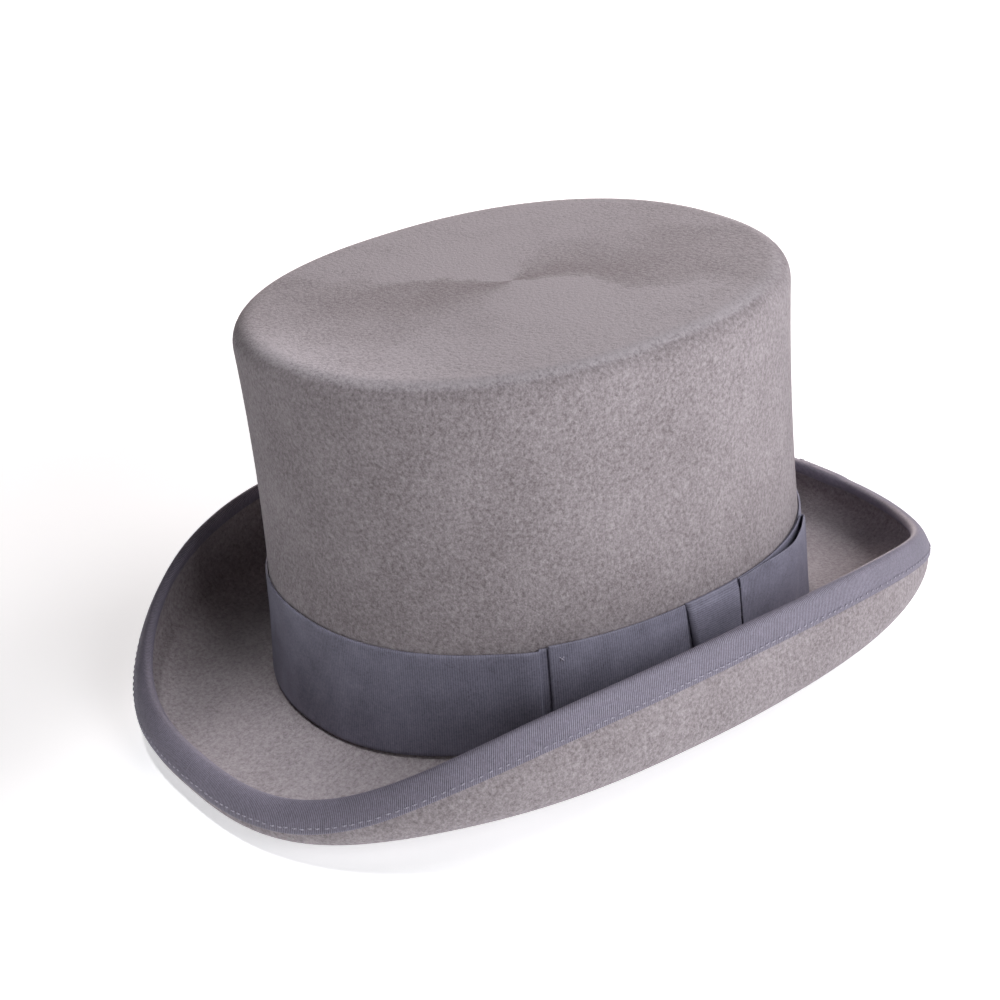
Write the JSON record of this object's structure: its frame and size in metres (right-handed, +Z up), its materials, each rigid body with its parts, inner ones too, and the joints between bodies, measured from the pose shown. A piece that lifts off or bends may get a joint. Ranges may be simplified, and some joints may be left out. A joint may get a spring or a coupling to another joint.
{
  "type": "top hat",
  "caption": "Grey felt top hat with an oval crown, curled bound brim, ribbon band with a flat bow, leather sweatband and satin lining.",
  "frame": {"origin": "middle of the head opening, at the level that the brim rests on at the front and the back", "axes": "+Z up through the crown; the front of the hat faces -Y; +X is the wearer's left, where the bow is; Y is the hat's length"},
  "size_m": [0.2244, 0.3023, 0.1416],
  "materials": {
    "felt": "short-napped grey fur felt",
    "ribbon": "ribbed charcoal ribbon",
    "binding": "ribbed grey ribbon",
    "thread": "sewing thread",
    "leather": "smooth tan leather",
    "reed": "leather-covered cord",
    "small_ribbon": "narrow ribbed ribbon",
    "satin": "satin",
    "piping": "satin-covered cord"
  },
  "bodies": {
    "root": {"felt_body": "felt", "hat_band": "ribbon", "bow_front_wing": "ribbon", "bow_rear_wing": "ribbon", "bow_knot": "ribbon", "bow_wing_tack": "thread", "bow_knot_stitches": "thread", "brim_binding": "binding", "binding_stitches": "thread", "binding_join_stitches": "thread", "sweatband": "leather", "sweatband_reed": "reed", "sweatband_stitches": "thread", "sweatband_seam_stitches": "thread", "sweatband_rear_bow": "small_ribbon", "lining_side": "satin", "lining_piping": "piping", "lining_tip": "satin"}
  },
  "joints": []
}
